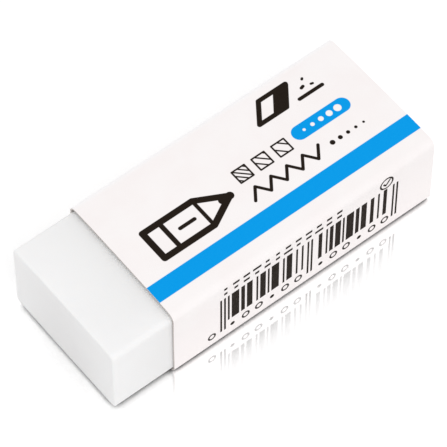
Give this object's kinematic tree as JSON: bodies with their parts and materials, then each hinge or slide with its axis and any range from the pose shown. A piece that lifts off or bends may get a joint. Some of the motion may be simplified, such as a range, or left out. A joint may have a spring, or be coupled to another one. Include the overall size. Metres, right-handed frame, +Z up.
{
  "type": "rubber eraser",
  "caption": "Pencil eraser: a soft white vinyl block held in a folded card sleeve that slides back along it as the block wears.",
  "frame": {"origin": "on the surface the eraser lies on, under the middle of its whole length and width", "axes": "+X along the block from the bare working end to the sleeved far end, +Z up through the printed top panel, -Y out of the front side panel"},
  "size_m": [0.0442, 0.0182, 0.0115],
  "materials": {
    "white_vinyl": "matte, faintly waxy",
    "printed_card": "smooth coated white board with blue and near-black print, satin"
  },
  "bodies": {
    "block": {"eraser_block": "white_vinyl"},
    "sleeve": {"card_sleeve": "printed_card"}
  },
  "joints": [
    {"name": "sleeve_slide", "type": "slide", "parent": "block", "child": "sleeve", "axis": [1, 0, 0], "range_m": [-0.0079, 0.0362]}
  ]
}
